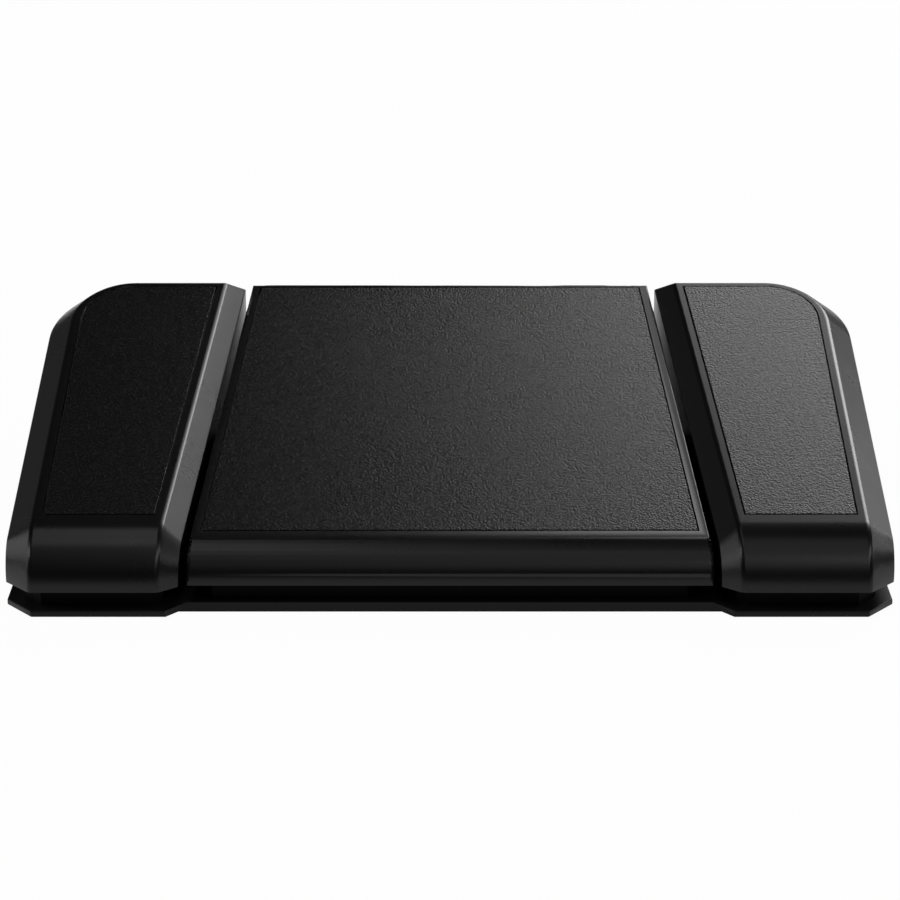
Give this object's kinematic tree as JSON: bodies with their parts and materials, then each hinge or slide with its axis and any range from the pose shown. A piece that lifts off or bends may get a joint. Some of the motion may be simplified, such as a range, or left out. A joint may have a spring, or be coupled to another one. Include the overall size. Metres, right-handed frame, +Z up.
{
  "type": "foot pedal switch",
  "caption": "Foot switch with sloping hinged pedals side by side on a flat base, rubber pads in their tops and a socket at the rear.",
  "frame": {"origin": "middle of the base on the floor it stands on", "axes": "+X across the pedals, to the right of a seated user, +Y away from the user towards the socket, +Z up"},
  "size_m": [0.2428, 0.16, 0.0551],
  "materials": {
    "pedal_plastic": "satin black moulded ABS with a fine spark-eroded texture",
    "pad_rubber": "matt black rubber with a pebbled grain",
    "base_paint": "satin black powder coat on sheet steel",
    "pod_plastic": "plain black moulded ABS",
    "mat_rubber": "matt black non-slip rubber sheet",
    "shaft_steel": "ground steel rod",
    "clip_steel": "phosphated spring steel",
    "spring_steel": "drawn spring wire",
    "screw_steel": "black zinc plated steel",
    "board_laminate": "green solder mask on glass laminate",
    "chip_plastic": "black moulding compound",
    "can_metal": "drawn nickel-plated can",
    "capacitor_ceramic": "fired ceramic with tinned ends",
    "header_plastic": "natural nylon",
    "lead_insulation": "PVC insulation",
    "switch_lower_plastic": "black glass-filled nylon",
    "switch_upper_plastic": "black nylon",
    "stem_plastic": "brown acetal",
    "socket_metal": "nickel-plated drawn steel",
    "tongue_plastic": "black moulded contact carrier",
    "bumper_rubber": "soft black rubber"
  },
  "bodies": {
    "base": {"base_plate": "base_paint", "non_slip_mat": "mat_rubber", "base_screws": "screw_steel", "shaft_clips": "clip_steel", "board_screws": "screw_steel", "board_main": "board_laminate", "socket_shell": "socket_metal", "socket_tongue": "tongue_plastic", "controller_chip": "chip_plastic", "clock_crystal": "can_metal", "capacitors": "capacitor_ceramic", "pod_left": "pod_plastic", "shaft_left": "shaft_steel", "switch_lower_left": "switch_lower_plastic", "switch_upper_left": "switch_upper_plastic", "pod_right": "pod_plastic", "shaft_right": "shaft_steel", "switch_lower_right": "switch_lower_plastic", "switch_upper_right": "switch_upper_plastic", "pod_centre": "pod_plastic", "shaft_centre": "shaft_steel", "switch_lower_centre": "switch_lower_plastic", "switch_upper_centre": "switch_upper_plastic", "board_left": "board_laminate", "header_left": "header_plastic", "plug_left": "header_plastic", "header_main_left": "header_plastic", "plug_main_left": "header_plastic", "leads_left": "lead_insulation", "bumper_left": "bumper_rubber", "bumper_centre_left": "bumper_rubber", "board_right": "board_laminate", "header_right": "header_plastic", "plug_right": "header_plastic", "header_main_right": "header_plastic", "plug_main_right": "header_plastic", "leads_right": "lead_insulation", "bumper_right": "bumper_rubber", "bumper_centre_right": "bumper_rubber", "spring_left": "spring_steel", "spring_right": "spring_steel", "spring_centre_left": "spring_steel", "spring_centre_right": "spring_steel"},
    "pedal_left_body": {"pedal_left": "pedal_plastic", "pad_left": "pad_rubber"},
    "stem_left_body": {"switch_stem_left": "stem_plastic"},
    "pedal_centre_body": {"pedal_centre": "pedal_plastic", "pad_centre": "pad_rubber"},
    "stem_centre_body": {"switch_stem_centre": "stem_plastic"},
    "pedal_right_body": {"pedal_right": "pedal_plastic", "pad_right": "pad_rubber"},
    "stem_right_body": {"switch_stem_right": "stem_plastic"}
  },
  "joints": [
    {"name": "press_left", "type": "hinge", "parent": "base", "child": "pedal_left_body", "pos_m": [-0.0975, -0.06, 0.0105], "axis": [-1, 0, 0], "range_deg": [0, 1.9], "stiffness_Nm_per_rad": 8, "springref_deg": -4.01, "deforming": ["spring_left"]},
    {"name": "stem_left", "type": "slide", "parent": "base", "child": "stem_left_body", "axis": [0, 0, -1], "range_m": [0, 0.0036]},
    {"name": "press_centre", "type": "hinge", "parent": "base", "child": "pedal_centre_body", "pos_m": [0, -0.06, 0.0105], "axis": [-1, 0, 0], "range_deg": [0, 1.9], "stiffness_Nm_per_rad": 12, "springref_deg": -4.01, "deforming": ["spring_centre_left", "spring_centre_right"]},
    {"name": "stem_centre", "type": "slide", "parent": "base", "child": "stem_centre_body", "axis": [0, 0, -1], "range_m": [0, 0.0036]},
    {"name": "press_right", "type": "hinge", "parent": "base", "child": "pedal_right_body", "pos_m": [0.0975, -0.06, 0.0105], "axis": [-1, 0, 0], "range_deg": [0, 1.9], "stiffness_Nm_per_rad": 8, "springref_deg": -4.01, "deforming": ["spring_right"]},
    {"name": "stem_right", "type": "slide", "parent": "base", "child": "stem_right_body", "axis": [0, 0, -1], "range_m": [0, 0.0036]}
  ],
  "couplings": [
    {"joint": "stem_left", "follows": "press_left", "m_per_rad": 0.1},
    {"joint": "stem_centre", "follows": "press_centre", "m_per_rad": 0.1},
    {"joint": "stem_right", "follows": "press_right", "m_per_rad": 0.1}
  ]
}
